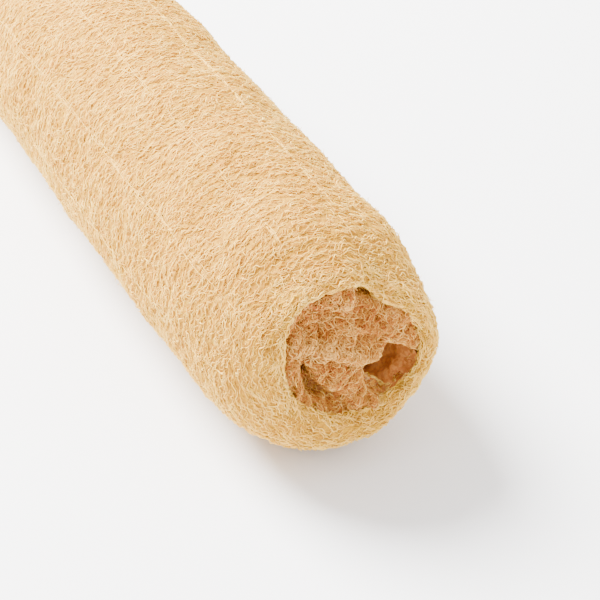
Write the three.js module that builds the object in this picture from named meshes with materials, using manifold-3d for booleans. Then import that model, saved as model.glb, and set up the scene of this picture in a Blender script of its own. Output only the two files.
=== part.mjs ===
// A natural loofah: the dried, peeled fibre skeleton of a luffa gourd, lying on its side. Millimetres, +Z up.
// The fruit's axis runs along Y. Its open blossom end, the mouth, faces -Y, and its stalk end faces +Y.
// The origin is on the surface that it lies on, under the middle of its bounding box.
// The pieces are the layers that the plant grows: two fibre mats that make the wall, a spongy net across the
// mouth, a core with three webs that divide the inside into seed channels, a papery skin in each channel,
// woody strands in the core and under the ribs, and the stub of the stalk.
import * as THREE from "three";
import { mergeVertices } from "three/addons/utils/BufferGeometryUtils.js";
import Module from "manifold-3d";

const wasm = await Module();
wasm.setup();

// Driving dimensions. A place along the fruit is its distance from the mouth end.
const LENGTH = 320;
const BODY_RADIUS = 36; // widest radius of the outer mat
const REST_DROP = 35.3; // from the axis to the surface that it lies on, which presses its underside flat
const GAP = 0.3; // between neighbouring pieces
const OUTER_MAT = 3; // thickness of the mat of ring fibres
const INNER_MAT = 6.7; // thickness of the mat of long fibres
const MOUTH_RADIUS = 20; // inner edge of the lip
const MOUTH_OFFSET = new THREE.Vector2(2.5, 5); // the mouth lies off the axis, to +X and up
const MOUTH_OVAL = 0.13; // how much longer the mouth is than a circle, towards its lower right
const MOUTH_OVAL_TURN = -42; // in degrees from +X
const MOUTH_LEAN = 0.1; // how far the end face leans back, per millimetre of height
const CREASES = [
  // Dents that run in from the rim, by their turn in degrees from +X
  { at: -52, depth: 3 },
  { at: 54, depth: 2.5 },
];
const SPONGE_FRONT = 3;
const SPONGE_BACK = 14;
const SPONGE_RADIUS = 24;
const SPONGE_BOWL = 3; // how far the sponge's face is sunk in its middle
const INSIDE_START = SPONGE_BACK + GAP; // the core, webs and skins run between these
const INSIDE_END = 298;
const CORE_RADIUS = 8;
const CORE_STRAND_RADIUS = 1;
const CORE_STRAND_CIRCLE = 4.4; // radius of the circle that the core's strands stand on
const WEB = 7; // thickness of each web
const WEB_TURNS = [35, 155, -85]; // where the webs stand round the core, in degrees from +X
const WEB_CLEAR = 1; // between a web and the wall, which curves more than the web does
const CHANNEL_CENTRE = 17.2; // distance of each channel's centre from the axis
const CHANNEL_DEPTH = 7.6; // half-sizes of a channel's oval section, towards the axis and across
const CHANNEL_WIDTH = 14;
const SKIN = 0.6; // thickness of a channel's papery skin
const MOUTH_HOLES = [
  // Where each channel opens through the sponge, and how wide
  { turn: -36, out: 15.5, radius: 7.5 },
  { turn: 70, out: 16, radius: 5.8 },
  { turn: -141, out: 13.8, radius: 7.4 },
];
const RIBS = 10;
const RIB_STRAND_RADIUS = 0.35;
const RIB_STRAND_ENDS = [16, 300];
const STALK_RADIUS = 8;
const STALK_START = 301;
const AROUND = 36; // facets round the wall
const ALONG = 18; // steps along the pieces inside

const WALL = OUTER_MAT + GAP + INNER_MAT;
const CHANNEL_WALL_RADIUS = BODY_RADIUS - WALL;
const WEB_COUNT = WEB_TURNS.length;

// The outside of the wall in the plane of the axis, from the stalk to the inner edge of the lip:
// x is the place along the fruit and y the radius.
const outline = new THREE.SplineCurve(
  [
    [LENGTH, STALK_RADIUS + 1.5],
    [318.5, 13.5],
    [313, 19.5],
    [302, 25.5],
    [285, 30],
    [258, 33.6],
    [215, 35.4],
    [160, BODY_RADIUS],
    [105, BODY_RADIUS],
    [65, 35.8],
    [40, 35.2],
    [24, 34],
    [14, 32.2],
    [6.5, 29.6],
    [1.6, 26.4],
    [0, 23.5],
    [1, 21.2],
    [4, MOUTH_RADIUS],
  ].map(([place, radius]) => new THREE.Vector2(place, radius)),
);
const LAST_SPAN = outline.points.length - 1;
const INNER_SPANS = [2, 12]; // the inner mat stops short of both ends

// A point of the outline at a span number, moved into the wall by a depth.
function wallPoint(span, depth) {
  const point = outline.getPoint(span / LAST_SPAN);
  const tangent = outline.getTangent(span / LAST_SPAN);
  return new THREE.Vector2(point.x - tangent.y * depth, point.y + tangent.x * depth);
}

// Span numbers from one to another: whole ones along the straight body and halves round the ends.
function stations(first, last) {
  const spans = [];
  for (let span = first; span <= last; span += 0.5) {
    if (Number.isInteger(span) || span < 4 || span > 10) spans.push(span);
  }
  return spans;
}

// The radius of the wall's surface at a depth, as a function of the place along the fruit.
function radiusAlong(depth, first, last) {
  const points = stations(first, last).map((span) => wallPoint(span, depth));
  points.reverse();
  return (place) => {
    const next = points.findIndex((point) => point.x > place);
    if (next === 0) return points[0].y;
    if (next < 0) return points.at(-1).y;
    const [a, b] = [points[next - 1], points[next]];
    return THREE.MathUtils.lerp(a.y, b.y, (place - a.x) / (b.x - a.x));
  };
}
const outsideRadius = radiusAlong(0, 0, 14);
const insideRadius = radiusAlong(WALL, ...INNER_SPANS);

const { degToRad, smoothstep } = THREE.MathUtils;
const hump = (x, centre, width) => Math.exp(-(((x - centre) / width) ** 2));
const turnFrom = (a, b) => Math.atan2(Math.sin(a - b), Math.cos(a - b));
const atTurn = (radius, turn) => new THREE.Vector2(Math.cos(turn) * radius, Math.sin(turn) * radius);

// Moves a point of the straight, round fruit to where the uneven, real one has it.
function grown({ x, y, z }) {
  const place = y + LENGTH / 2;
  const turn = Math.atan2(z, x);
  const radius = Math.hypot(x, z);
  const upperSide = (1 + Math.sin(turn)) / 2; // the underside stays round, so that it lies evenly
  const lobes = 1 + 0.012 * upperSide * (Math.cos(3 * turn + 0.5 + place / 90) + Math.sin(place / 23 + turn));
  const rim = smoothstep(radius, 8, 26) * hump(place, 0, 16);
  const dent = ({ at, depth }) => depth * hump(turnFrom(turn, degToRad(at)), 0, 0.3);
  const creases = CREASES.reduce((sum, crease) => sum + dent(crease), 0);
  // The lip is drawn towards the mouth's own centre and into an oval, and the stalk end bends to one side
  const lip = smoothstep(34 - radius, 0, 18) * hump(place, 0, 16);
  const oval = MOUTH_OVAL * lip * Math.cos(2 * (turn - degToRad(MOUTH_OVAL_TURN)));
  const scale = lobes + oval - (creases * rim) / Math.max(radius, 1);
  const stalkBend = 5 * smoothstep(place, 190, LENGTH) ** 2;
  const lean = MOUTH_LEAN * smoothstep(45 - place, 0, 45);
  return new THREE.Vector3(
    x * scale + lip * MOUTH_OFFSET.x - stalkBend,
    y + lean * (z + BODY_RADIUS),
    Math.max(z * scale + lip * MOUTH_OFFSET.y, -REST_DROP),
  );
}

// Pieces inside the wall are drawn for the body's width, and narrow with the wall towards the ends.
function grownInside({ x, y, z }) {
  const share = insideRadius(y + LENGTH / 2) / CHANNEL_WALL_RADIUS;
  return grown({ x: x * share, y, z: z * share });
}

// Moves every vertex of a geometry by a function of its place.
function reshape(geometry, move) {
  const places = geometry.getAttribute("position");
  const point = new THREE.Vector3();
  for (let i = 0; i < places.count; i++) {
    const moved = move(point.fromBufferAttribute(places, i));
    places.setXYZ(i, moved.x, moved.y, moved.z);
  }
  geometry.computeVertexNormals();
  return geometry;
}

const finish = (color, roughness) => new THREE.MeshStandardMaterial({ color, roughness, metalness: 0 });
const RING_FIBRE = finish(0xecd3a2, 0.85);
const LONG_FIBRE = finish(0xdfb77a, 0.85);
const SPONGE = finish(0xcf9650, 0.9);
const PAPERY_SKIN = finish(0xb8752e, 0.5);
const STRAND = finish(0xf3e3c0, 0.7);
const STALK = finish(0xa9824e, 0.8);

const loofah = new THREE.Group();

function add(name, geometry, look) {
  const mesh = new THREE.Mesh(geometry, look);
  mesh.name = name;
  loofah.add(mesh);
}

// A closed shell of the wall between two depths, from one span of the outline to another.
function wallShell(first, last, nearDepth, farDepth) {
  const outside = stations(first, last).map((span) => wallPoint(span, nearDepth));
  const inside = stations(first, last).map((span) => wallPoint(span, farDepth));
  const loop = [...outside, ...inside.reverse(), outside[0]];
  const profile = loop.map((point) => new THREE.Vector2(point.y, point.x - LENGTH / 2));
  return new THREE.LatheGeometry(profile.reverse(), AROUND);
}

// A solid of revolution about the fruit's axis, from radius and place pairs that start and end on it.
function turned(pairs) {
  const profile = pairs.map(([radius, place]) => new THREE.Vector2(radius, place - LENGTH / 2));
  return new THREE.LatheGeometry(profile, AROUND);
}

// A section carried along the inside of the fruit. Its x and y are the fruit's X and Z.
function column(section, curveSegments = 3) {
  const straight = new THREE.ExtrudeGeometry(section, {
    depth: INSIDE_END - INSIDE_START,
    steps: ALONG,
    curveSegments,
    bevelEnabled: false,
  });
  straight.rotateX(Math.PI / 2).translate(0, INSIDE_END - LENGTH / 2, 0);
  return reshape(straight, grownInside);
}

const circle = (radius, sides, centre = new THREE.Vector2()) =>
  Array.from({ length: sides }, (_, i) => atTurn(radius, (2 * Math.PI * i) / sides).add(centre));

function solidOf(geometry) {
  geometry.deleteAttribute("normal");
  geometry.deleteAttribute("uv");
  const merged = mergeVertices(geometry, 1e-3);
  const vertProperties = merged.attributes.position.array;
  const triVerts = new Uint32Array(merged.index.array);
  return new wasm.Manifold(new wasm.Mesh({ numProp: 3, vertProperties, triVerts }));
}

function geometryOf(solid) {
  const { vertProperties, triVerts } = solid.getMesh();
  const geometry = new THREE.BufferGeometry();
  geometry.setAttribute("position", new THREE.BufferAttribute(vertProperties, 3));
  geometry.setIndex(new THREE.BufferAttribute(triVerts, 1));
  return geometry;
}

// The spongy net across the mouth: a plug with a sunken face, and a hole where each channel opens.
function mouthSponge() {
  const plug = turned([
    [0, SPONGE_FRONT + SPONGE_BOWL],
    [MOUTH_RADIUS / 2, SPONGE_FRONT + SPONGE_BOWL * 0.75],
    [MOUTH_RADIUS - 1, SPONGE_FRONT],
    [MOUTH_RADIUS - 0.5, SPONGE_FRONT + 4],
    [SPONGE_RADIUS, SPONGE_FRONT + 6.5],
    [SPONGE_RADIUS, SPONGE_BACK],
    [0, SPONGE_BACK],
  ]);
  let sponge = solidOf(plug);
  for (const { turn, out, radius } of MOUTH_HOLES) {
    const centre = atTurn(out, degToRad(turn));
    const drill = new THREE.CylinderGeometry(radius, radius, 40, 20);
    sponge = sponge.subtract(solidOf(drill.translate(centre.x, SPONGE_FRONT - LENGTH / 2, centre.y)));
  }
  return reshape(geometryOf(sponge), grown);
}

// The core's column, with a bore for each of its woody strands.
function core() {
  const section = new THREE.Shape(circle(CORE_RADIUS, 18));
  for (const turn of WEB_TURNS) {
    const centre = atTurn(CORE_STRAND_CIRCLE, degToRad(turn));
    section.holes.push(new THREE.Path(circle(CORE_STRAND_RADIUS + GAP, 6, centre)));
  }
  return column(section);
}

function coreStrand(turn) {
  const centre = atTurn(CORE_STRAND_CIRCLE, degToRad(turn));
  return column(new THREE.Shape(circle(CORE_STRAND_RADIUS, 6, centre)));
}

// A web: a bar from the core to the inner mat, with its ends curved to fit them.
function web(turn) {
  const [near, far] = [CORE_RADIUS + GAP, CHANNEL_WALL_RADIUS - WEB_CLEAR];
  const [nearTurn, farTurn] = [near, far].map((radius) => Math.asin(WEB / 2 / radius));
  const middle = degToRad(turn);
  const section = new THREE.Shape();
  section.absarc(0, 0, far, middle - farTurn, middle + farTurn);
  section.absarc(0, 0, near, middle + nearTurn, middle - nearTurn, true);
  return column(section, 2);
}

// The papery skin that lines the channel between one web and the next, open at both ends.
function channelSkin(turn) {
  const middle = degToRad(turn + 180 / WEB_COUNT);
  const centre = atTurn(CHANNEL_CENTRE, middle);
  const oval = (path, inset) => {
    const [depth, width] = [CHANNEL_DEPTH - inset, CHANNEL_WIDTH - inset];
    return path.absellipse(centre.x, centre.y, depth, width, 0, 2 * Math.PI, false, middle);
  };
  const section = oval(new THREE.Shape(), 0);
  section.holes.push(oval(new THREE.Path(), SKIN));
  return column(section, 8);
}

// A lengthwise strand that lies on the outer mat, over one of the fruit's ribs.
function ribStrand(turn) {
  const [from, to] = RIB_STRAND_ENDS;
  const points = [];
  for (let step = 0; step <= ALONG * 2; step++) {
    const place = THREE.MathUtils.lerp(from, to, step / (ALONG * 2));
    const across = atTurn(outsideRadius(place) + GAP + RIB_STRAND_RADIUS, turn);
    points.push(grown({ x: across.x, y: place - LENGTH / 2, z: across.y }));
  }
  const section = new THREE.Shape(circle(RIB_STRAND_RADIUS, 5));
  return new THREE.ExtrudeGeometry(section, {
    extrudePath: new THREE.CatmullRomCurve3(points),
    steps: ALONG * 2,
  });
}

// The woody stub where the stalk was cut, held in the closed end of the outer mat.
function stalkStub() {
  const stub = turned([
    [0, STALK_START],
    [STALK_RADIUS * 0.6, STALK_START],
    [STALK_RADIUS, STALK_START + 9],
    [STALK_RADIUS, LENGTH - 1],
    [STALK_RADIUS - 1, LENGTH],
    [STALK_RADIUS * 0.5, LENGTH - 0.6],
    [0, LENGTH - 1],
  ]);
  return reshape(stub, grown);
}

add("outer_mat", reshape(wallShell(0, LAST_SPAN, 0, OUTER_MAT), grown), RING_FIBRE);
add("inner_mat", reshape(wallShell(...INNER_SPANS, OUTER_MAT + GAP, WALL), grown), LONG_FIBRE);
add("mouth_sponge", mouthSponge(), SPONGE);
add("core", core(), SPONGE);
WEB_TURNS.forEach((turn, i) => {
  add(`core_strand_${i + 1}`, coreStrand(turn), STRAND);
  add(`web_${i + 1}`, web(turn), SPONGE);
  add(`channel_skin_${i + 1}`, channelSkin(turn), PAPERY_SKIN);
});
for (let rib = 0; rib < RIBS; rib++) {
  add(`rib_strand_${rib + 1}`, ribStrand((2 * Math.PI * rib) / RIBS), STRAND);
}
add("stalk_stub", stalkStub(), STALK);

const box = new THREE.Box3().setFromObject(loofah);
const middle = box.getCenter(new THREE.Vector3());
loofah.position.set(-middle.x, -middle.y, -box.min.z);

export default loofah;
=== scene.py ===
# %% [markdown]
# # A natural loofah
# A loofah is the dried skeleton of a luffa gourd: a felt of fine, pale fibres that run round the fruit, over
# a sponge of coarser ones, with three brown seed channels that open at the mouth.
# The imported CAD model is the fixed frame. Each piece made here goes where the frame says, with no fitting.

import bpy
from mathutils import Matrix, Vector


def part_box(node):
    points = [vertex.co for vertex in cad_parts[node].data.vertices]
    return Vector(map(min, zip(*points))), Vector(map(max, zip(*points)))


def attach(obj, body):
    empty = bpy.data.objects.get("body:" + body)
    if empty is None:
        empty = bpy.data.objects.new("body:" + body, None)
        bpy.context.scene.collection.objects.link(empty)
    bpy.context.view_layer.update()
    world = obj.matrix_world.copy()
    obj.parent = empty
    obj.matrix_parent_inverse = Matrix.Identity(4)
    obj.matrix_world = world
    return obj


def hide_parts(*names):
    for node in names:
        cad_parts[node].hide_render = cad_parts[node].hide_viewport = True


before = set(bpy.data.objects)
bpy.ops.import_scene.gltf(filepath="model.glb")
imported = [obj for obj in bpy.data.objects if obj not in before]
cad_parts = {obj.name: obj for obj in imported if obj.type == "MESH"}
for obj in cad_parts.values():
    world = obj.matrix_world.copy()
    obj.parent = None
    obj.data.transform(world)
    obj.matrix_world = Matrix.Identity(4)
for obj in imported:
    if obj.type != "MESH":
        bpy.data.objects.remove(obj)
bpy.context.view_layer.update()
print("frame nodes:", len(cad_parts))

# %% [markdown]
# The fruit lies along Y, with its mouth towards -Y. Two rib strands lie on opposite sides of it at the height
# of its axis, so their boxes give the axis, and the outer mat's box gives the ends.
# Places on the fruit are then in millimetres: x across, z above the axis, and the place from the mouth's end.

# %% Measure the fruit from the frame
import math

import bpy
import numpy as np
from mathutils import Vector
from mathutils.bvhtree import BVHTree

MM = 0.001
right_strand, left_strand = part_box("rib_strand_1"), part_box("rib_strand_6")
AXIS_X = (right_strand[1].x + left_strand[0].x) / 2
AXIS_Z = (right_strand[0].z + right_strand[1].z) / 2
MOUTH_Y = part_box("outer_mat")[0].y
STALK_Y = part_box("outer_mat")[1].y


def to_fruit(points):
    """World points as x, place and z in millimetres on the fruit."""
    return (points - [AXIS_X, MOUTH_Y, AXIS_Z]) / MM


def to_world(points):
    """Points in millimetres on the fruit as world points."""
    return points * MM + [AXIS_X, MOUTH_Y, AXIS_Z]


print("axis height mm:", round(AXIS_Z / MM, 2), "length mm:", round((STALK_Y - MOUTH_Y) / MM, 1))

# %% [markdown]
# ## Camera, floor and lights
# The camera looks down on the mouth with a long lens, so the body runs away from it and out of the picture.
# A camera can be turned by typing angles, but it is easier to reason about a point that it looks at, a
# direction and a distance, so those three place it.

# %% Point the camera at the mouth
AZIMUTH, ELEVATION = math.radians(-26.47), math.radians(36)
CAMERA_DISTANCE = 0.537
FIELD_OF_VIEW = math.radians(18)
looking = Vector((
    -math.sin(AZIMUTH) * math.cos(ELEVATION),
    math.cos(AZIMUTH) * math.cos(ELEVATION),
    -math.sin(ELEVATION),
))
aim = Vector((AXIS_X + 2.85 * MM, MOUTH_Y + 37.56 * MM, AXIS_Z))

camera = bpy.data.objects.new("camera", bpy.data.cameras.new("camera"))
bpy.context.collection.objects.link(camera)
camera.location = aim - looking * CAMERA_DISTANCE
camera.rotation_euler = looking.to_track_quat("-Z", "Y").to_euler()
camera.data.sensor_width = 36
camera.data.angle = FIELD_OF_VIEW
camera.data.clip_start = 0.01
bpy.context.scene.camera = camera
print("camera at", [round(value, 3) for value in camera.location])

# %% [markdown]
# A plain white floor and soft lights: one large lamp above and behind the fruit's left side, which throws the
# soft shadow to the lower right, a weaker one in front, and a white surround that fills the shadows.

# %% Floor and lights


def lamp(name, place, size, power):
    """A round soft lamp that points at the fruit."""
    light = bpy.data.lights.new(name, "AREA")
    light.shape, light.size, light.energy = "DISK", size, power
    held = bpy.data.objects.new(name, light)
    bpy.context.collection.objects.link(held)
    held.location = place
    held.rotation_euler = (aim - Vector(place)).to_track_quat("-Z", "Y").to_euler()


def deselect():
    """Leaves nothing selected, because an operator acts on everything that is."""
    if bpy.context.object and bpy.context.object.mode != "OBJECT":
        bpy.ops.object.mode_set(mode="OBJECT")
    bpy.ops.object.select_all(action="DESELECT")


deselect()
bpy.ops.mesh.primitive_plane_add(size=6, location=(0, 0, -0.2 * MM))
floor = bpy.context.object
floor.name = "floor"
floor_paint = bpy.data.materials.new("floor_paint")
floor_paint.use_nodes = True
floor_paint.node_tree.nodes["Principled BSDF"].inputs["Base Color"].default_value = (0.92, 0.92, 0.92, 1)
floor_paint.node_tree.nodes["Principled BSDF"].inputs["Roughness"].default_value = 0.9
floor.data.materials.append(floor_paint)

lamp("key", (-0.5, 0.9, 1.2), 0.9, 205)
lamp("front", (0.2, -1.3, 0.9), 1.2, 8)
surround = bpy.data.worlds.new("surround")
bpy.context.scene.world = surround
surround.use_nodes = True
surround.node_tree.nodes["Background"].inputs["Color"].default_value = (1, 0.975, 0.965, 1)
surround.node_tree.nodes["Background"].inputs["Strength"].default_value = 2.2

# %% [markdown]
# ## Shader maths
# A material could be wired node by node. It reads better as an expression, so a small class wraps a socket:
# adding, subtracting or multiplying it adds the Math node that does so.

# %% Sockets that can be added and multiplied


class Wire:
    """An output socket in one material's node tree."""

    def __init__(self, paint, socket):
        self.paint, self.socket = paint, socket

    def _math(self, operation, a, b):
        return self.paint.node("ShaderNodeMath", {"operation": operation}, {0: a, 1: b})

    def __add__(self, other):
        return self._math("ADD", self, other)

    __radd__ = __add__

    def __mul__(self, other):
        return self._math("MULTIPLY", self, other)

    __rmul__ = __mul__

    def __sub__(self, other):
        return self._math("SUBTRACT", self, other)

    def __rsub__(self, other):
        return self._math("SUBTRACT", other, self)

    def ramp(self, low, high):
        """0 where this is low, 1 where it is high, smooth between."""
        settings = {"interpolation_type": "SMOOTHSTEP"}
        return self.paint.node("ShaderNodeMapRange", settings, {0: self, 1: low, 2: high, 3: 0.0, 4: 1.0})


print("a wire can be added, subtracted and multiplied")

# %% [markdown]
# Every finish here is made in the same way: a new material, noise read from the place on the piece, and the
# result fed to the base colour or to a bump. One class holds those steps, so that each finish is a few lines.

# %% A material that adds its own nodes


class Paint:
    """One material: its shader, and the nodes that feed it."""

    def __init__(self, name, roughness):
        self.material = bpy.data.materials.new(name)
        self.material.use_nodes = True
        self.tree = self.material.node_tree
        self.shader = self.tree.nodes["Principled BSDF"]
        self.shader.inputs["Roughness"].default_value = roughness
        self.shader.inputs["Specular IOR Level"].default_value = 0.25

    def node(self, kind, settings=None, inputs=None, output=0):
        """Adds a node, sets it up, links or fills its sockets and returns one of its outputs."""
        made = self.tree.nodes.new(kind)
        for key, value in (settings or {}).items():
            setattr(made, key, value)
        for key, value in (inputs or {}).items():
            self.feed(made.inputs[key], value)
        return Wire(self, made.outputs[output])

    def feed(self, socket, value):
        """Links a wire to a socket, or sets the socket's own value."""
        if isinstance(value, Wire):
            self.tree.links.new(value.socket, socket)
        else:
            socket.default_value = value

    def places(self):
        """Where the shaded point is on the piece."""
        return self.node("ShaderNodeTexCoord", output="Object")

    def noise(self, size, detail, stretch=(1, 1, 1)):
        """Soft noise from 0 to 1, with lumps of a size in metres, longer along a small stretch."""
        scaled = self.node("ShaderNodeMapping", inputs={"Vector": self.places(), "Scale": stretch})
        inputs = {"Vector": scaled, "Scale": 1 / size, "Detail": detail}
        return self.node("ShaderNodeTexNoise", inputs=inputs, output="Fac")

    def blend(self, share, colour, other):
        """A colour between two, by a share from 0 to 1."""
        settings = {"data_type": "RGBA"}
        return self.node("ShaderNodeMix", settings, {0: share, 6: colour, 7: other}, output=2)

    def colour(self, value):
        """Sets what the base colour comes from."""
        self.feed(self.shader.inputs["Base Color"], value)

    def bump(self, height, depth):
        """Relief of a depth in metres where the height goes from 0 to 1."""
        self.feed(
            self.shader.inputs["Normal"],
            self.node("ShaderNodeBump", inputs={"Strength": 1.0, "Distance": depth, "Height": height}),
        )


def tone(red, green, blue):
    """A colour given from 0 to 255 as the linear colour that a shader wants."""
    return (*(((value / 255 + 0.055) / 1.055) ** 2.4 for value in (red, green, blue)), 1.0)


print("a straw tone in linear light:", [round(value, 2) for value in tone(228, 178, 46)])

# %% [markdown]
# ## Finishes
# Dry luffa fibre is matt and pale, and light that gets in between the fibres comes back more golden. That
# golden light and the shade between the fibres are painted in: the top fibres are cream, the deeper ones go
# through straw to honey, and the felt under them is darker still, as painted shade.
# One flat colour per fibre would look printed, so each finish drifts between two tones with soft noise.

# %% Fibre finishes
FIBRE_PATCH = 0.012  # the size of a patch of one tone, in metres


def fibre_paint(name, pale, deep):
    """A matt fibre finish that drifts between two tones from patch to patch."""
    paint = Paint(name, roughness=0.75)
    drift = paint.noise(FIBRE_PATCH, 3.0).ramp(0.35, 0.68)
    paint.colour(paint.blend(drift, pale, deep))
    return paint.material


FIBRES = [
    fibre_paint("fibre_bleached", tone(251, 212, 106), tone(248, 203, 94)),
    fibre_paint("fibre_cream", tone(245, 196, 86), tone(240, 186, 74)),
    fibre_paint("fibre_straw", tone(228, 178, 46), tone(216, 163, 36)),
    fibre_paint("fibre_honey", tone(198, 144, 28), tone(180, 124, 18)),
]
NET_FIBRES = [
    fibre_paint("net_pale", tone(236, 184, 96), tone(228, 170, 80)),
    fibre_paint("net_golden", tone(210, 146, 56), tone(196, 130, 44)),
    fibre_paint("net_brown", tone(186, 108, 38), tone(166, 90, 28)),
]
print("fibre finishes:", [material.name for material in FIBRES + NET_FIBRES])

# %% [markdown]
# The felt and the sponge are seen only between fibres. They could be one flat brown, but then the gaps would
# look cut out. A grain of about a millimetre, with a bump of the same pattern, looks like deeper fibres.
# Their tones are darker than the fibres' and darkest in the hollows of the grain: partly their own golden
# colour, and partly painted shade for the depth of the gaps.
# The channels' lining is smoother, because it is skin and not fibre, and the stalk's grain runs along it.

# %% Felt, sponge, skin and stalk finishes


def felt_paint(name, pale, deep, hole, grain, depth):
    """Matted fibre seen from a distance: a grain of pale and deep tones, with painted shade in its hollows.
    """
    paint = Paint(name, roughness=0.85)
    fine = paint.noise(grain, 3.0)
    strands = paint.blend(fine.ramp(0.38, 0.6), deep, pale)
    shaded_pits = paint.noise(grain * 1.7, 1.0).ramp(0.62, 0.75)
    paint.colour(paint.blend(shaded_pits * 0.8, strands, hole))
    paint.bump(fine - shaded_pits * 0.5, depth)
    return paint.material


# Dark tones, darkest in the hollows: partly the fibre's own colour and partly painted shade between the
# fibres.
felt = felt_paint("felt", tone(188, 138, 22), tone(164, 112, 14), tone(120, 72, 8), 0.0010, 0.0004)
sponge = felt_paint("sponge", tone(172, 98, 30), tone(144, 74, 20), tone(104, 50, 12), 0.0014, 0.0005)


def skin_paint(name, deep, pale, patch):
    """A channel's papery lining: brown film with a fine grain and soft pale patches."""
    paint = Paint(name, roughness=0.5)
    grain = paint.noise(0.0011, 2.0)
    patches = paint.noise(0.009, 2.0)
    brown = paint.blend(grain.ramp(0.4, 0.62), deep, pale)
    paint.colour(paint.blend(patches.ramp(0.5, 0.75) * 0.5, brown, patch))
    paint.bump(grain, 0.0002)
    return paint.material


def stalk_paint():
    """Dry stalk wood, grained along the stalk."""
    paint = Paint("stalk", roughness=0.8)
    grain = paint.noise(0.0012, 3.0, stretch=(1, 0.12, 1))
    paint.colour(paint.blend(grain.ramp(0.35, 0.65), tone(98, 64, 30), tone(164, 116, 60)))
    paint.bump(grain, 0.0004)
    return paint.material


def plain_paint(name, pale, deep):
    """A matt finish that only drifts a little between two tones."""
    paint = Paint(name, roughness=0.8)
    paint.colour(paint.blend(paint.noise(0.002, 3.0).ramp(0.3, 0.7), pale, deep))
    return paint.material


# The linings' skin is their real brown made lighter: painted light for the light that comes through the thin
# fibre walls.
skin = skin_paint("channel_skin", tone(184, 110, 46), tone(208, 138, 66), tone(222, 164, 98))
# A lighter copy still, for the torn slopes of the small hole and the notch: painted light for the light
# through the thin mat there.
torn_skin_painted_light = skin_paint("torn_skin_painted_light", tone(216, 142, 68), tone(234, 168, 90), tone(242, 194, 124))
stalk = stalk_paint()
strand = plain_paint("strand", tone(244, 202, 96), tone(236, 188, 78))
film = plain_paint("torn_film", tone(214, 162, 112), tone(198, 142, 92))
fleck = plain_paint("fleck", tone(96, 62, 30), tone(58, 36, 18))
others = (felt, sponge, skin, torn_skin_painted_light, stalk, strand, film, fleck)
print("other finishes:", [material.name for material in others])

# %% [markdown]
# ## Helpers for meshes
# The frame's own meshes are never changed. A copy of one is a good block to carve from, once its loose
# triangles are merged and turned back into quads.

# %% Select and copy


def select_only(piece):
    """Selects one piece and makes it the active one."""
    deselect()
    piece.select_set(True)
    bpy.context.view_layer.objects.active = piece


def pick_vertices(piece, picked):
    """Goes into edit mode with just these vertices selected."""
    select_only(piece)
    bpy.ops.object.mode_set(mode="EDIT")
    bpy.ops.mesh.select_mode(type="VERT")
    bpy.ops.mesh.select_all(action="DESELECT")
    bpy.ops.object.mode_set(mode="OBJECT")
    piece.data.vertices.foreach_set("select", picked)
    bpy.ops.object.mode_set(mode="EDIT")


def copy_of(node, name):
    """A copy of a CAD node's mesh as a new piece, merged and made of quads."""
    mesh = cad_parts[node].data.copy()
    mesh.name = name
    mesh.materials.clear()
    piece = bpy.data.objects.new(name, mesh)
    bpy.context.collection.objects.link(piece)
    select_only(piece)
    bpy.ops.object.mode_set(mode="EDIT")
    bpy.ops.mesh.select_all(action="SELECT")
    bpy.ops.mesh.remove_doubles(threshold=0.01 * MM)
    bpy.ops.mesh.tris_convert_to_quads(face_threshold=0.8, shape_threshold=0.8)
    bpy.ops.object.mode_set(mode="OBJECT")
    return piece


print("a CAD node can be copied and made of quads")

# %% [markdown]
# Thousands of vertices are slow to move one by one. Read as one array, moved by a function of their places
# and normals, and written back, they move at once. A finished piece hides the CAD nodes that it stands for.

# %% Shape and finish


def apply(piece, kind, **settings):
    """Adds a modifier of a kind and applies it at once."""
    select_only(piece)
    modifier = piece.modifiers.new(kind.lower(), kind)
    for key, value in settings.items():
        setattr(modifier, key, value)
    bpy.ops.object.modifier_apply(modifier=modifier.name)


def corners_of(piece):
    """Every vertex and its normal, as two arrays."""
    count = len(piece.data.vertices)
    places, normals = np.empty(count * 3), np.empty(count * 3)
    piece.data.vertices.foreach_get("co", places)
    piece.data.vertices.foreach_get("normal", normals)
    return places.reshape(-1, 3), normals.reshape(-1, 3)


def shift(piece, move):
    """Moves each vertex by a function of the places and the normals."""
    places, normals = corners_of(piece)
    piece.data.vertices.foreach_set("co", (places + move(places, normals)).ravel())
    piece.data.update()


def finish(piece, node_names, slot, *paints):
    """Gives a piece its finishes, hides the CAD nodes that it stands for, and lets it ride with the fruit."""
    for paint in paints:
        piece.data.materials.append(paint)
    piece.data.polygons.foreach_set("use_smooth", [True] * len(piece.data.polygons))
    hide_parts(*node_names)
    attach(piece, "root")
    print(piece.name, "triangles:", sum(len(face.vertices) - 2 for face in piece.data.polygons))


print("a piece can be shaped and finished")

# %% [markdown]
# Nothing that grows is regular, so shapes and directions are nudged by waves: a few sines with random
# directions, added up. They are smooth, quick to work out for thousands of points, and the same on each run.

# %% Waves and smooth steps


def waves(points, length, seed, count=7):
    """Smooth random waves, about -1 to 1, of a wavelength in the points' own unit."""
    draw = np.random.default_rng(seed)
    ways = draw.normal(size=(count, 3))
    ways *= 2 * np.pi / length * draw.uniform(0.7, 1.4, (count, 1)) / np.linalg.norm(ways, axis=1)[:, None]
    return np.sin(points @ ways.T + draw.uniform(0, 2 * np.pi, count)).sum(axis=1) * (2 / count) ** 0.5


def step(value, low, high):
    """0 below low, 1 above high, smooth between."""
    share = np.clip((value - low) / (high - low), 0, 1)
    return share * share * (3 - 2 * share)


def unit(vectors):
    """Vectors of the same directions and a length of one."""
    return vectors / np.maximum(np.linalg.norm(vectors, axis=-1, keepdims=True), 1e-9)


print("waves at the axis:", waves(np.zeros((1, 3)), 10, 1).round(2))

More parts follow.
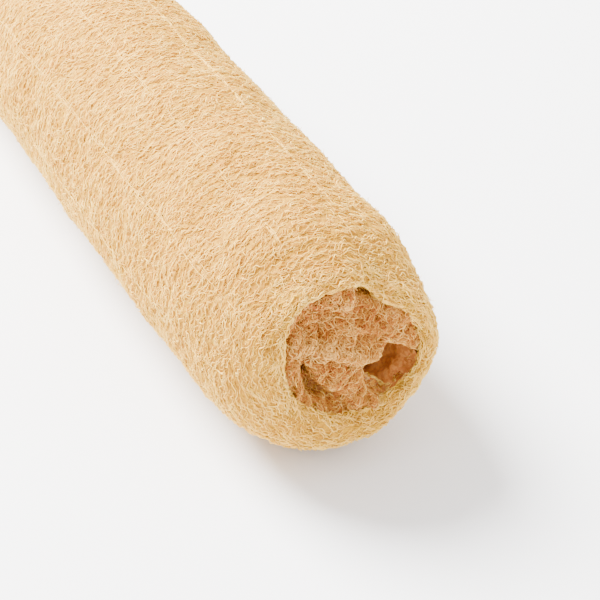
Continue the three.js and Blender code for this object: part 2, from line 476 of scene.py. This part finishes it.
# %% [markdown]
# ## The felt wall
# The wall could be spun from its outline, but the frame's outer mat already has the right outline, lip and
# creases, only coarse. A copy of it is subdivided smooth, then pulled in a little, because the fibres that
# will lie on it bring it back to its full size.

# %% Outer felt
FIBRE_COVER = 0.45  # how far the fibres build up over the felt, in millimetres
FELT_LUMPS, FELT_RIPPLES = 0.35, 0.12  # how high the broad and the fine unevenness are, in millimetres
LIP_DIP = 3.2  # how far back the lip dips above the upper channel, in millimetres

wall = copy_of("outer_mat", "outer_felt")
apply(wall, "SUBSURF", levels=2, render_levels=2)


def felt_lumps(places, normals):
    """Low, soft lumps, and the room that the fibres need."""
    fruit = to_fruit(places)
    lumps = FELT_LUMPS * waves(fruit, 26, 11) + FELT_RIPPLES * waves(fruit, 7, 12)
    height = (lumps - FIBRE_COVER) * MM
    moved = normals * height[:, None]
    dip = np.exp(-((fruit[:, 0] - 10) ** 2 + (fruit[:, 2] - 23) ** 2) / 45) * (1 - step(fruit[:, 1], 5, 22))
    moved[:, 1] += LIP_DIP * dip * MM
    moved[:, 2] = np.maximum(moved[:, 2], FIBRE_COVER * MM - places[:, 2])
    return moved


shift(wall, felt_lumps)
finish(wall, ["outer_mat"], "ring_fibre", felt)

# %% [markdown]
# ## Growing fibres
# The felt is thousands of fibres that lie nearly side by side, and each shows for about half a centimetre
# before it dives under its neighbours. Hair particles could do this, but they don't follow a surface closely.
# So one fibre is modelled by hand, a thin three-sided rod with pointed ends, and copied along paths.

# %% One fibre, modelled once
FIBRE_RINGS = 4


def fibre_pattern():
    """A rod with its rings at whole heights and its two tips closed: its places and its triangles."""
    deselect()
    bpy.ops.mesh.primitive_circle_add(vertices=3, radius=1, location=(0, 0, 1))
    rod = bpy.context.object
    rod.data.transform(rod.matrix_world)
    rod.matrix_world.identity()
    bpy.ops.object.mode_set(mode="EDIT")
    bpy.ops.mesh.select_all(action="SELECT")
    for _ in range(FIBRE_RINGS - 1):
        bpy.ops.mesh.extrude_region_move(TRANSFORM_OT_translate={"value": (0, 0, 1)})
    bpy.ops.mesh.extrude_region_move(TRANSFORM_OT_translate={"value": (0, 0, 1)})
    bpy.ops.mesh.merge(type="CENTER")
    bpy.ops.mesh.select_all(action="DESELECT")
    bpy.ops.object.mode_set(mode="OBJECT")
    pick_vertices(rod, [vertex.co.z < 1.5 for vertex in rod.data.vertices])
    bpy.ops.mesh.extrude_region_move(TRANSFORM_OT_translate={"value": (0, 0, -1)})
    bpy.ops.mesh.merge(type="CENTER")
    bpy.ops.mesh.select_all(action="SELECT")
    bpy.ops.mesh.normals_make_consistent(inside=False)
    bpy.ops.mesh.quads_convert_to_tris()
    bpy.ops.object.mode_set(mode="OBJECT")
    places = np.array([vertex.co for vertex in rod.data.vertices])
    faces = np.array([list(face.vertices) for face in rod.data.polygons])
    bpy.data.objects.remove(rod)
    return places, faces


ROD, ROD_FACES = fibre_pattern()
print("one fibre:", len(ROD), "vertices,", len(ROD_FACES), "triangles")

# %% [markdown]
# Fibres need a surface to start from and to stay on. Its triangles are kept with their areas, so that the
# starting points spread evenly over big and small ones, and in a search tree that finds the nearest point.

# %% Ground that fibres grow on


class Ground:
    """A surface to scatter fibres on and to keep them on."""

    def __init__(self, *grounds):
        places, corners = [], []
        for piece in grounds:
            piece.data.calc_loop_triangles()
            indices = np.empty(len(piece.data.loop_triangles) * 3, int)
            piece.data.loop_triangles.foreach_get("vertices", indices)
            corners.append(indices.reshape(-1, 3) + sum(len(p) for p in places))
            places.append(corners_of(piece)[0])
        self.places, self.corners = np.concatenate(places), np.concatenate(corners)
        self.tree = BVHTree.FromPolygons(self.places.tolist(), self.corners.tolist())
        a, b, c = (self.places[self.corners[:, corner]] for corner in range(3))
        crossed = np.cross(b - a, c - a)
        self.areas = np.linalg.norm(crossed, axis=1) / 2
        self.centres, self.normals = (a + b + c) / 3, unit(crossed)

    def scatter(self, count, draw, density):
        """Random points, as many per area as the density of the fruit's places and normals says."""
        chances = np.cumsum(self.areas * density(to_fruit(self.centres), self.normals))
        spots = (np.arange(count) + draw.random(count)) / count * chances[-1]
        picked = self.corners[np.minimum(np.searchsorted(chances, spots), len(chances) - 1)]
        u, v = draw.random((2, count, 1))
        u, v = np.where(u + v > 1, 1 - u, u), np.where(u + v > 1, 1 - v, v)
        a, b, c = (self.places[picked[:, corner]] for corner in range(3))
        return a + u * (b - a) + v * (c - a)

    def touch(self, points):
        """The nearest points of the surface, and its normals there."""
        found = [self.tree.find_nearest(point) for point in points.tolist()]
        return np.array([hit[0] for hit in found]), np.array([hit[1] for hit in found])


print("points can be scattered on a surface")

# %% [markdown]
# A path starts at a point of the surface and walks over it in short, equal steps. At each step it asks a flow
# which way to go, takes the step, and drops back to the nearest point of the surface.

# %% Walk over the ground


def walk(ground, starts, length, flow, draw, spread=0.3, wiggle=0.5):
    """Paths from starting points, about a length in millimetres, and the surface's normals along them."""
    places, normals = ground.touch(starts)
    count = len(places)
    stride = length * MM * draw.uniform(0.6, 1.4, (count, 1)) / (FIBRE_RINGS + 1)
    turn = draw.normal(0, spread, count)
    phase, pace = draw.uniform(0, 2 * np.pi, count), draw.uniform(1.4, 2.8, count)
    path, ups, heading = [places], [normals], None
    for stage in range(FIBRE_RINGS + 1):
        ahead = flow(places, normals, turn + wiggle * np.sin(phase + pace * stage))
        if heading is not None:
            ahead = np.where((ahead * heading).sum(axis=1, keepdims=True) < 0, -ahead, ahead)
        heading = ahead
        places, normals = ground.touch(places + ahead * stride)
        path.append(places)
        ups.append(normals)
    return np.stack(path, axis=1), np.stack(ups, axis=1)


print("paths can walk over a surface")

# %% [markdown]
# A laid fibre rises from the surface, runs over its neighbours and dives back, so its ends are hidden. The
# rod's rings are carried to the path's points, each in a frame made of the surface's normal and the path.

# %% Lay rods along paths
SINK = 0.35  # how far a fibre's ends dive under the surface, in millimetres
FLOOR_GAP = 0.25  # the least height of a fibre's middle line over the floor, in millimetres


def lay(name, paths, ups, radius, lift, shade, draw, weave=0.1, loose=False):
    """One piece of all the fibres. Radius and lift are in millimetres, and shade picks each one's finish."""
    count = len(paths)
    share = np.linspace(0, 1, paths.shape[1])
    arch = np.clip(np.sin(np.pi * share), 0, 1) ** 0.6
    wander = draw.normal(0, weave, paths.shape[:2])
    height = (lift[:, None] + wander) * arch - SINK * (1 - arch)
    if loose:  # one end stays rooted, and the other stands off the surface
        height = lift[:, None] * share**1.5 - SINK * (1 - share) + wander * share
    middle = paths + ups * (height * MM)[:, :, None]
    middle[:, :, 2] = np.maximum(middle[:, :, 2], FLOOR_GAP * MM)
    along = unit(np.gradient(middle, axis=1))
    side = unit(np.cross(along, ups))
    up = np.cross(side, along)
    thick = radius[:, None] * MM * (0.55 + 0.45 * arch)
    ring = ROD[:, 2].round().astype(int)
    section = side[:, ring] * ROD[:, 0, None] + up[:, ring] * ROD[:, 1, None]
    places = middle[:, ring] + section * thick[:, ring, None]
    faces = ROD_FACES[None] + (np.arange(count) * len(ROD))[:, None, None]
    mesh = bpy.data.meshes.new(name)
    mesh.from_pydata(places.reshape(-1, 3), [], faces.reshape(-1, 3))
    mesh.polygons.foreach_set("material_index", np.repeat(shade, len(ROD_FACES)))
    piece = bpy.data.objects.new(name, mesh)
    bpy.context.collection.objects.link(piece)
    return piece


print("fibres can be laid along paths")

# %% [markdown]
# ## The outer mat's fibres
# On the real fruit the outermost fibres run round it, waving and crossing at shallow angles, and near the
# mouth they swirl round the opening. The flow below is that: the way round the axis, or round the mouth's own
# centre near the lip, turned a little by waves and by each fibre's own habit.

# %% Which way the outer fibres run
MOUTH_X, MOUTH_Z = 2.5, 5.0  # the mouth's centre, which lies off the fruit's axis
MOUTH_LEAN = 0.1  # how far the rim leans back, per millimetre of height
RIM_LOW = 36  # how far the rim's lowest point is below the axis, in millimetres


def behind_the_rim(fruit):
    """How far points are behind the leaning rim, in millimetres."""
    return fruit[:, 1] - MOUTH_LEAN * (fruit[:, 2] + RIM_LOW)


def round_the_fruit(places, normals, turn):
    """Round the fruit's axis, or round the mouth close to it."""
    fruit = to_fruit(places)
    near = 1 - step(fruit[:, 1], 4, 40)
    ring = np.stack([-(fruit[:, 2] - MOUTH_Z * near), 0 * near, fruit[:, 0] - MOUTH_X * near], axis=1)
    ring = unit(ring - normals * (ring * normals).sum(axis=1, keepdims=True))
    angle = turn + 0.16 * waves(fruit, 24, 21) + 0.16 * waves(fruit, 7, 22)
    return ring * np.cos(angle)[:, None] + np.cross(normals, ring) * np.sin(angle)[:, None]


def outside(fruit, normals):
    """1 on the outside of the wall and round the lip, and 0 on its hidden inner side."""
    outward = (fruit[:, 0] * normals[:, 0] + fruit[:, 2] * normals[:, 2]) / np.hypot(fruit[:, 0], fruit[:, 2])
    return ((outward > -0.2) | (behind_the_rim(fruit) < 4.5)).astype(float)


wall_ground = Ground(wall)
print("felt area cm2:", round(wall_ground.areas.sum() * 1e4))

# %% [markdown]
# One layer of pale fibres on felt looks like hair on a ball. Seven layers, honey at the bottom and bleached
# at the top, give gaps that darken as they deepen: the darker tones of the deeper layers are painted shade. A
# layer's row says its name, how many fibres it has, how long and how thick they are, how far they lie over
# the felt, and the share of each finish, palest first.

# %% Lay the outer fibres in layers
# The shares darken from the top layers down: painted shade for the depth of the gaps.
LAYERS = [
    ("outer_fibres_deep_a", 8000, 5.5, 0.18, 0.0, (0.0, 0.0, 0.45, 0.55)),
    ("outer_fibres_deep_b", 8000, 5.5, 0.17, 0.08, (0.0, 0.05, 0.5, 0.45)),
    ("outer_fibres_middle_a", 8000, 5, 0.17, 0.18, (0.0, 0.3, 0.5, 0.2)),
    ("outer_fibres_middle_b", 8000, 5, 0.16, 0.28, (0.1, 0.45, 0.4, 0.05)),
    ("outer_fibres_middle_c", 8000, 5, 0.15, 0.38, (0.2, 0.5, 0.3, 0.0)),
    ("outer_fibres_top_a", 8000, 5, 0.15, 0.5, (0.55, 0.45, 0.0, 0.0)),
    ("outer_fibres_top_b", 7500, 5, 0.14, 0.6, (0.7, 0.3, 0.0, 0.0)),
]


def fibre_layer(name, count, length, radius, lift, shares, seed):
    """One layer of fibres round the fruit."""
    draw = np.random.default_rng(seed)
    starts = wall_ground.scatter(count, draw, outside)
    paths, ups = walk(wall_ground, starts, length, round_the_fruit, draw, spread=0.26, wiggle=0.7)
    shade = draw.choice(len(FIBRES), count, p=shares)
    lifts = lift + draw.normal(0, 0.08, count)
    radii = radius * draw.uniform(0.7, 1.3, count)
    piece = lay(name, paths, ups, radii, lifts, shade, draw, weave=0.2)
    finish(piece, ["outer_mat"], "ring_fibre", *FIBRES)


for number, layer in enumerate(LAYERS):
    fibre_layer(*layer, seed=31 + number)

# %% [markdown]
# ## The rib strands
# Under the outermost fibres, paler strands run the fruit's whole length, and show as faint straight lines.
# One long cord would look stuck on. A bundle of short fibres laid end over end along the frame's own strand,
# with the ring fibres crossing over it, looks grown in.

# %% Rib strands
STRAND_FIBRES = 130


def along_the_fruit(places, normals, turn):
    """Straight from the mouth to the stalk."""
    forward = np.array([0.0, 1.0, 0.0]) - normals * normals[:, 1:2]
    forward = unit(forward)
    return forward * np.cos(turn)[:, None] + np.cross(normals, forward) * np.sin(turn)[:, None]


def rib_strand(number):
    """The fibres of one strand, laid over the frame's strand of that number."""
    draw = np.random.default_rng(60 + number)
    guide, _ = corners_of(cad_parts[f"rib_strand_{number}"])
    starts = guide[draw.choice(len(guide), STRAND_FIBRES)] + draw.normal(0, 0.25 * MM, (STRAND_FIBRES, 3))
    starts[:, 1] += draw.uniform(-6, 6, STRAND_FIBRES) * MM
    paths, ups = walk(wall_ground, starts, 15, along_the_fruit, draw, spread=0.03, wiggle=0.08)
    radii, lifts = draw.uniform(0.1, 0.15, STRAND_FIBRES), draw.uniform(0.0, 0.42, STRAND_FIBRES)
    shade = np.zeros(STRAND_FIBRES, int)
    piece = lay(f"rib_strand_fibres_{number}", paths, ups, radii, lifts, shade, draw)
    finish(piece, [f"rib_strand_{number}"], "strand", strand)


for number in range(1, 11):
    rib_strand(number)

# %% [markdown]
# ## The mouth
# At the open blossom end the sponge shows: a net of coarse fibre in a shallow bowl, with two torn holes into
# the seed channels and a notch over the third. Torn edges have no formula, so their outlines are drawn as
# points, x and z in millimetres, and the distance to an outline then shapes the edge.

# %% The holes' outlines
BIG_HOLE = np.array([
    (6.2, -3.5), (7.4, -0.5), (11.1, 0.3), (12.9, 2.5), (16.6, 1.9), (20.5, -0.8), (24.1, -5.6),
    (22.7, -8.6), (21.2, -10.2), (17.1, -13), (13.4, -14.8), (9.3, -12.6), (6.7, -9.2),
])
SMALL_HOLE = np.array([
    (-13, 3.6), (-9.7, 2.7), (-8.2, -0.5), (-7.5, -3.5), (-3.9, -6.2), (0.8, -10.3), (0.2, -13.6),
    (-2.2, -13.4), (-5, -12.4), (-9, -9.6), (-12.4, -5.9), (-12.7, -1),
])
SMALL_TEAR = np.array([(-12, 2), (-10.2, 1.4), (-9.2, -2), (-9.5, -6), (-11.6, -5), (-12, -1)])
NOTCH = np.array([
    (3.5, 20), (6, 23.5), (10.5, 24), (14.5, 21.5), (17, 17.5), (16, 14.5), (11, 15.5), (7, 17.5),
])


def inside_by(points, outline):
    """How far points are inside a closed outline, negative outside."""
    ends = np.roll(outline, -1, axis=0)
    along = ends - outline
    offset = points[:, None] - outline[None]
    share = np.clip((offset * along).sum(axis=2) / (along**2).sum(axis=1), 0, 1)
    distance = np.linalg.norm(offset - share[:, :, None] * along, axis=2).min(axis=1)
    rises = (outline[None, :, 1] > points[:, None, 1]) != (ends[None, :, 1] > points[:, None, 1])
    height = points[:, None, 1] - outline[None, :, 1]
    climb = np.where(along[None, :, 1] == 0, 1e-9, along[None, :, 1])
    crossing = outline[None, :, 0] + height * along[None, :, 0] / climb
    crossed = (rises & (points[:, None, 0] < crossing)).sum(axis=1) % 2 == 1
    return np.where(crossed, distance, -distance)


print("the big hole's middle is inside by mm:", inside_by(BIG_HOLE.mean(axis=0)[None], BIG_HOLE).round(1))

# %% [markdown]
# The net could be sculpted, but nobody could then say why it has its shape. It is a height field: a flat grid
# whose every point is pushed back by a depth, which is a sum of simple bumps, ridges, waves and the holes.

# %% The depth of the net
MOUTH_OVAL, MOUTH_OVAL_TURN = 0.13, math.radians(42)  # how far from round the mouth is, and its turn


def bump_at(points, x, z, width):
    """1 at a point and falling off round it."""
    return np.exp(-((points - [x, z]) ** 2).sum(axis=1) / (2 * width**2))


def ridge(points, start, end, width):
    """1 along a line and falling off beside it."""
    start, along = np.array(start), np.array(end) - np.array(start)
    share = np.clip(((points - start) @ along) / (along @ along), 0, 1)
    gap = np.linalg.norm(points - start - share[:, None] * along, axis=1)
    return np.exp(-(gap**2) / (2 * width**2))


def mouth_reach(points):
    """How far points are from the mouth's middle, on the scale of its oval."""
    x, z = points[:, 0] - MOUTH_X, points[:, 1] - MOUTH_Z
    return np.hypot(x, z) / (1 + MOUTH_OVAL * np.cos(2 * (np.arctan2(z, x) + MOUTH_OVAL_TURN)))


def mouth_depth(points):
    """How far behind the lip's end the net lies, in millimetres, at points x and z of the mouth."""
    flat = np.insert(points, 1, 0, axis=1)
    depth = 5.4 + MOUTH_LEAN * points[:, 1] + 3.6 * bump_at(points, -7, 13, 6.5)
    depth -= 1.6 * ridge(points, (-13, 9), (8, 1), 1.7) + 1.3 * ridge(points, (0, 24), (2, 10), 2.0)
    depth -= 1.6 * bump_at(points, 17, 9, 4.5)
    depth += 0.45 * waves(flat, 6, 41) + 0.3 * waves(flat, 2.6, 42)
    notch, big_hole = inside_by(points, NOTCH), inside_by(points, BIG_HOLE)
    depth += 6 * step(notch, -0.8, 2.5) + 3.5 * step(big_hole, -1.3, 0.7)
    steep = 1.2 + 5 * step(points[:, 0], -8, -1)  # the small hole drops sharply on its left side only
    return depth + 8 * step(inside_by(points, SMALL_HOLE) / steep, -0.3, 1)


print("depth at the mouth's middle:", mouth_depth(np.array([[2.5, 5.0]])).round(1))

# %% [markdown]
# The sheet that carries the net's fibres starts as a flat grid. Its vertices are pushed back by the depth,
# and those in the holes, past the mouth or outside the wall are deleted. Solidify makes it a closed sheet.
# The slopes of the holes get brown skin where the felt is torn through, in a lighter copy of the linings'
# skin: painted light for the light that comes through the thin mat there.

# %% The mouth's net
NET_RADIUS = 25.5
NET_COVER = 0.8  # how far the fibres stand off the net that carries them, in millimetres

deselect()
bpy.ops.mesh.primitive_grid_add(x_subdivisions=120, y_subdivisions=120, size=2 * NET_RADIUS * MM)
net = bpy.context.object
net.name = "mouth_net"
places, _ = corners_of(net)
flat = places[:, :2] / MM + [MOUTH_X, MOUTH_Z]
away = np.linalg.norm(flat - [MOUTH_X, MOUTH_Z], axis=1)
kept_film = 4 * bump_at(flat, 8.6, -11.4, 2.4)  # a scrap of film left across the big hole's lower corner
holes = np.maximum(inside_by(flat, BIG_HOLE) - kept_film, inside_by(flat, SMALL_TEAR) + 0.5)
tucked = mouth_depth(flat) + 3 * step(away, 21, NET_RADIUS)  # the edge is tucked in behind the lip
placed = to_world(np.stack([flat[:, 0], tucked, flat[:, 1]], axis=1))
wall_near, wall_way = wall_ground.touch(placed)
past_wall = ((placed - wall_near) * wall_way).sum(axis=1) > -0.7 * MM
outer_side = (wall_way[:, [0, 2]] * flat).sum(axis=1) > 0
gone = (away > NET_RADIUS - 0.3) | (holes > 0.6) | ((away > 16) & outer_side & past_wall)
net.data.vertices.foreach_set("co", placed.ravel())
pick_vertices(net, gone)
bpy.ops.mesh.delete(type="VERT")
bpy.ops.object.mode_set(mode="OBJECT")
net_ground = Ground(net)
shift(net, lambda places, normals: -normals * NET_COVER * MM)
apply(net, "SOLIDIFY", thickness=0.6 * MM, offset=-1)
finish(net, ["mouth_sponge"], "sponge", sponge, torn_skin_painted_light, film)
middles = np.empty(len(net.data.polygons) * 3)
net.data.polygons.foreach_get("center", middles)
middles = to_fruit(middles.reshape(-1, 3))[:, [0, 2]]
# The small hole's and the notch's slopes take the lighter skin, which is painted light.
torn = np.maximum(inside_by(middles, SMALL_HOLE) - 0.8, inside_by(middles, NOTCH) - 1.5) > 0
net.data.polygons.foreach_set("material_index", torn + 2 * (inside_by(middles, BIG_HOLE) > 0.2))

# %% [markdown]
# The net's own fibres are short, bent and laid every way, so their flow is only a turn from a fixed
# direction. The lower ones are darker, as painted shade, and the upper ones stand off them, which leaves deep
# little cells. They grow thinly in the holes, and the palest lie on the ridges, where the real net is
# thickest.

# %% Net fibres


def every_way(places, normals, turn):
    """Any way over the surface, because each fibre's own turn decides."""
    sideways = unit(np.cross(normals, [0.3, 0.9, 0.2]))
    return sideways * np.cos(turn)[:, None] + np.cross(normals, sideways) * np.sin(turn)[:, None]


def but_the_holes(fruit, normals):
    """1 all over the net, and much less in the holes."""
    flat = fruit[:, [0, 2]]
    holes = np.maximum(inside_by(flat, SMALL_HOLE), inside_by(flat, NOTCH) - 1)
    return 1 - 0.85 * step(np.maximum(holes, inside_by(flat, BIG_HOLE)), 0, 1.5)


def on_the_ridges(fruit, normals):
    """About 1 on the two ridges, and next to nothing elsewhere."""
    flat = fruit[:, [0, 2]]
    return 0.02 + ridge(flat, (-13, 9), (8, 1), 1.5) + 0.6 * ridge(flat, (0, 24), (2, 10), 1.6)


def net_layer(name, count, radius, lift, shares, density, seed):
    """One layer of bent fibres on the net."""
    draw = np.random.default_rng(seed)
    starts = net_ground.scatter(count, draw, density)
    paths, ups = walk(net_ground, starts, 4.5, every_way, draw, spread=2.0, wiggle=0.7)
    shade = draw.choice(len(NET_FIBRES), count, p=shares)
    lifts, radii = lift * draw.uniform(0.3, 1.4, count), radius * draw.uniform(0.7, 1.3, count)
    piece = lay(name, paths, ups, radii, lifts, shade, draw)
    finish(piece, ["mouth_sponge"], "sponge", *NET_FIBRES)


# The shares darken from the upper layers to the lower one: painted shade with depth.
net_layer("net_fibres_deep", 4200, 0.13, 0.0, (0, 0.3, 0.7), but_the_holes, 71)
net_layer("net_fibres", 4200, 0.11, 0.45, (0.25, 0.55, 0.2), but_the_holes, 72)
net_layer("net_fibres_on_ridges", 600, 0.14, 0.8, (0.8, 0.2, 0), on_the_ridges, 73)

# %% [markdown]
# At the lip the felt's fibres bend over into the net, so there is no line between the two. These fibres walk
# on both surfaces at once, always on the nearer one, and get fewer towards the middle.

# %% Fibres over the lip
LIP_FIBRES = 2600
lip_ground = Ground(wall, net)


def near_the_lip(fruit, normals):
    """1 on the lip's own ring, and less towards the mouth's middle."""
    away = mouth_reach(fruit[:, [0, 2]])
    front = behind_the_rim(fruit) < 7.5
    return front * (normals[:, 1] < 0.3) * step(away, 11, 20) * (1 - step(away, 23, 26))


draw = np.random.default_rng(75)
starts = lip_ground.scatter(LIP_FIBRES, draw, near_the_lip)
paths, ups = walk(lip_ground, starts, 6, round_the_fruit, draw, spread=0.5, wiggle=0.7)
shade = draw.choice(len(FIBRES), LIP_FIBRES, p=(0.25, 0.45, 0.25, 0.05))
radii, lifts = draw.uniform(0.11, 0.19, LIP_FIBRES), draw.uniform(0.3, 0.8, LIP_FIBRES)
over = lay("lip_fibres", paths, ups, radii, lifts, shade, draw)
finish(over, ["outer_mat"], "ring_fibre", *FIBRES)

# %% [markdown]
# ## The seed channels' linings
# Each channel is lined with papery skin. The frame has its tube, but not how it tears open at the mouth.
# So each lining is a rolled-up grid: its first rings follow the hole's outline, and the rest follow the
# frame's skin, found by looking outwards from the channel's middle until the skin is met.

# %% Channel linings
AROUND, THROAT, ALONG = 72, 14, 60


def outline_ring(outline, angles):
    """Points just inside a closed outline, at some angles about its middle."""
    middle = outline.mean(axis=0)
    ways = np.stack([np.cos(angles), np.sin(angles)], axis=1)
    reach = np.linspace(0.5, 16, 311)
    trial = middle + ways[:, None] * reach[:, None]
    inner = inside_by(trial.reshape(-1, 2), outline).reshape(len(angles), -1) > 0
    return middle + ways * reach[inner.sum(axis=1) - 1][:, None]


def rings_of_skin(node, angles):
    """Rings of points along the frame's skin, in millimetres on the fruit."""
    guide = to_fruit(corners_of(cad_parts[node])[0])
    guide_mesh = copy_of(node, "guide")
    tree = Ground(guide_mesh).tree
    bpy.data.objects.remove(guide_mesh)
    front, back = guide[:, 1].min() + 3, guide[:, 1].max() - 2
    rings = []
    for station in np.linspace(front, back, ALONG):
        near = np.abs(guide[:, 1] - station) < 9
        middle = np.array([guide[near, 0].mean(), station, guide[near, 2].mean()])
        ring = []
        for angle in angles:
            way = Vector((math.cos(angle), 0, math.sin(angle)))
            hit = tree.ray_cast(Vector(to_world(middle)), way, 0.03)[0]
            ring.append(to_fruit(np.array(hit)) if hit else middle + np.array(way) * 5)
        rings.append(np.array(ring))
    return rings


print("one ring of a lining has", AROUND, "points")

# %% [markdown]
# The rings are then the rows of a grid, whose first and last columns meet and are merged, and Solidify gives
# the skin its thickness. The upper channel's mouth is hidden under the lip, so its lining has no torn edge.

# %% Roll up the linings


def channel_lining(name, node, outline):
    """One channel's lining, torn along an outline at the mouth where there is one."""
    angles = np.linspace(0, 2 * np.pi, AROUND, endpoint=False)
    rings = rings_of_skin(node, angles)
    if outline is not None:
        start = outline_ring(outline, angles)
        edge = mouth_depth(start) - 1.2
        throat = []
        for share in np.linspace(0, 1, THROAT, endpoint=False):
            mixed = start + (rings[0][:, [0, 2]] - start) * step(share, 0, 1.2)
            back = edge + (rings[0][:, 1] - edge) * share
            throat.append(np.stack([mixed[:, 0], back, mixed[:, 1]], axis=1))
        rings = throat + rings
    rings = np.array(rings)
    deselect()
    bpy.ops.mesh.primitive_grid_add(x_subdivisions=AROUND, y_subdivisions=len(rings) - 1, size=1)
    tube = bpy.context.object
    tube.name = name
    grid, _ = corners_of(tube)
    column = ((grid[:, 0] + 0.5) * AROUND).round().astype(int) % AROUND
    row = ((grid[:, 1] + 0.5) * (len(rings) - 1)).round().astype(int)
    shape = rings[row, column]
    middles = rings.mean(axis=1)[row]
    shape += unit(shape - middles) * (0.25 * waves(shape, 6, 81) + 0.12 * waves(shape, 2.2, 82))[:, None]
    tube.data.vertices.foreach_set("co", to_world(shape).ravel())
    select_only(tube)
    bpy.ops.object.mode_set(mode="EDIT")
    bpy.ops.mesh.select_all(action="SELECT")
    bpy.ops.mesh.remove_doubles(threshold=0.001 * MM)
    bpy.ops.mesh.normals_make_consistent(inside=True)
    bpy.ops.object.mode_set(mode="OBJECT")
    apply(tube, "SOLIDIFY", thickness=0.3 * MM, offset=-1)
    finish(tube, [node], "papery_skin", skin)


channel_lining("channel_lining_upper", "channel_skin_1", None)
channel_lining("channel_lining_left", "channel_skin_2", SMALL_TEAR)
channel_lining("channel_lining_right", "channel_skin_3", BIG_HOLE)

# %% [markdown]
# ## Inside and at the stalk
# The inner mat, the core and its webs are hardly seen, so they stay as the frame has them, only subdivided
# and made a little uneven, mostly inwards, so that they keep clear of their neighbours. The stalk's stub is
# dry wood, rougher than the rest, so it is divided more finely.

# %% Inner pieces and the stalk


def rough_copy(node, name, slot, paint, size, height, levels=1):
    """A copy of a CAD node, subdivided and pushed in a little, unevenly."""

    def dent(places, normals):
        depth = height * (0.5 + 0.5 * waves(places / MM, size, 91))
        return -normals * depth[:, None] * MM

    piece = copy_of(node, name)
    apply(piece, "SUBSURF", levels=levels, render_levels=levels, subdivision_type="SIMPLE")
    shift(piece, dent)
    finish(piece, [node], slot, paint)


rough_copy("inner_mat", "inner_mat_fibre", "long_fibre", sponge, 5, 0.3)
rough_copy("core", "core_fibre", "sponge", sponge, 4, 0.3)
for number in (1, 2, 3):
    rough_copy(f"web_{number}", f"web_fibre_{number}", "sponge", sponge, 4, 0.3)
    rough_copy(f"core_strand_{number}", f"core_strand_wood_{number}", "strand", strand, 3, 0.05)
rough_copy("stalk_stub", "stalk_wood", "stalk", stalk, 2.2, 0.4, levels=3)

# %% [markdown]
# ## Loose hairs and flecks
# A few fibres always stand off the felt, and they soften its outline against the light. A few dark crumbs of
# the fruit's rind are left in it too.

# %% Loose hairs and flecks
FLECKS = 60


def loose_hairs(name, count, length, lift, flow, density, seed):
    """Thin fibres on the felt, each with one end that stands off it."""
    draw = np.random.default_rng(seed)
    starts = wall_ground.scatter(count, draw, density)
    paths, ups = walk(wall_ground, starts, length, flow, draw, spread=1.5, wiggle=0.6)
    lifts, radii = lift * draw.uniform(0.2, 1.0, count) ** 2, draw.uniform(0.06, 0.11, count)
    piece = lay(name, paths, ups, radii, lifts, draw.choice(2, count), draw, loose=True)
    finish(piece, ["outer_mat"], "ring_fibre", *FIBRES[:2])


def round_the_lip(fruit, normals):
    """1 on the felt close to the rim."""
    return np.where(fruit[:, 1] - MOUTH_LEAN * fruit[:, 2] < 7, outside(fruit, normals), 0.0)


loose_hairs("loose_hairs", 2600, 4, 2.2, round_the_fruit, outside, 95)
loose_hairs("lip_hairs", 400, 3.5, 1.6, every_way, round_the_lip, 96)

draw = np.random.default_rng(97)
starts = wall_ground.scatter(FLECKS, draw, outside)
paths, ups = walk(wall_ground, starts, 0.7, every_way, draw, spread=2)
radii, lifts = draw.uniform(0.12, 0.22, FLECKS), np.full(FLECKS, 0.6)
crumbs = lay("rind_flecks", paths, ups, radii, lifts, np.zeros(FLECKS, int), draw)
finish(crumbs, ["outer_mat"], "ring_fibre", fleck)

# %% Finish
print("the loofah is built")
